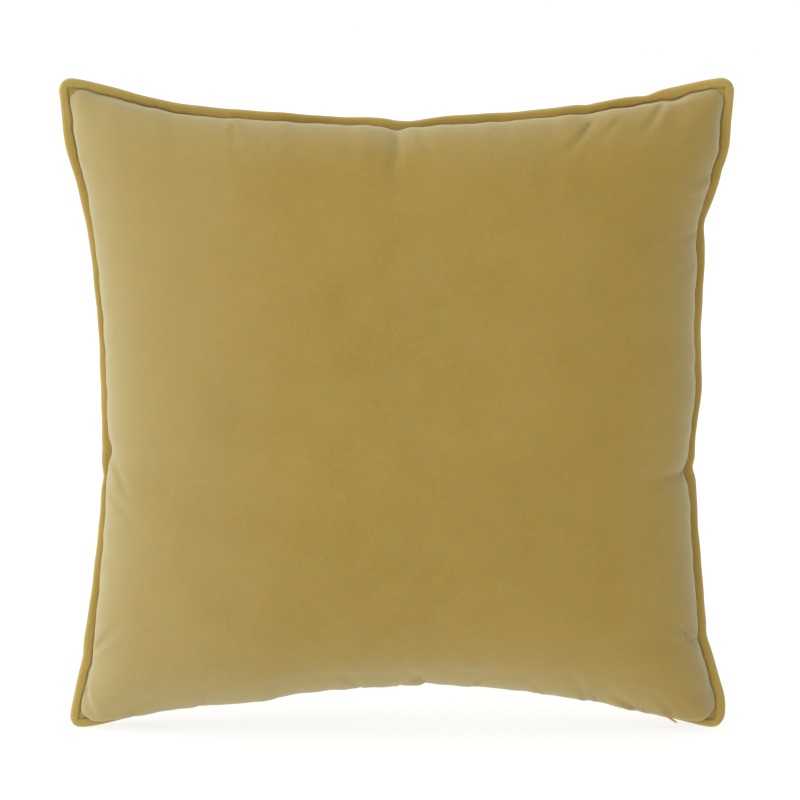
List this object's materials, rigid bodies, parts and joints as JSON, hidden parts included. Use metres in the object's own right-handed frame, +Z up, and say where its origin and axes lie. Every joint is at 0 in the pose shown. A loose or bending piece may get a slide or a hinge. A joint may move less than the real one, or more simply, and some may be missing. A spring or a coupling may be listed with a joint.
{
  "type": "throw pillow",
  "caption": "Square throw pillow with a zipped velvet cover, a narrow flange round its edge and a plump stuffed insert.",
  "frame": {"origin": "on the floor, midway between the two lower corners that the pillow stands on, in its seam plane", "axes": "+Z up, +X to the right seen from the front, -Y the front face"},
  "size_m": [0.4944, 0.1576, 0.4867],
  "materials": {
    "velvet": "matte",
    "velvet_trim": "matte",
    "zipper_tape": "matte",
    "zipper_coil": "satin",
    "zipper_metal": "satin",
    "ticking": "matte",
    "fill": "matte",
    "label_ribbon": "satin"
  },
  "bodies": {
    "cover": {"front_panel": "velvet", "back_panel": "velvet", "flange_bottom": "velvet_trim", "flange_top": "velvet_trim", "flange_left": "velvet_trim", "flange_right": "velvet_trim", "care_label": "label_ribbon", "zipper_tape_front": "zipper_tape", "zipper_tape_back": "zipper_tape", "zipper_coil_front": "zipper_coil", "zipper_coil_back": "zipper_coil", "zipper_top_stop_front": "zipper_metal", "zipper_top_stop_back": "zipper_metal", "zipper_bottom_stop": "zipper_metal", "insert_front": "ticking", "insert_back": "ticking", "insert_piping": "ticking", "insert_fill": "fill", "insert_label": "label_ribbon"},
    "slider": {"zipper_slider": "zipper_metal"},
    "pull": {"zipper_pull_tab": "zipper_metal"}
  },
  "joints": [
    {"name": "zip_travel", "type": "hinge", "parent": "cover", "child": "slider", "pos_m": [0, 0.006, -0.8395], "axis": [0, -1, 0], "range_deg": [0, 25.45]},
    {"name": "pull_swing", "type": "hinge", "parent": "slider", "child": "pull", "pos_m": [0.19276, 0.006, 0.01411], "axis": [0, 1, 0], "range_deg": [-12.3, 151.7]}
  ]
}
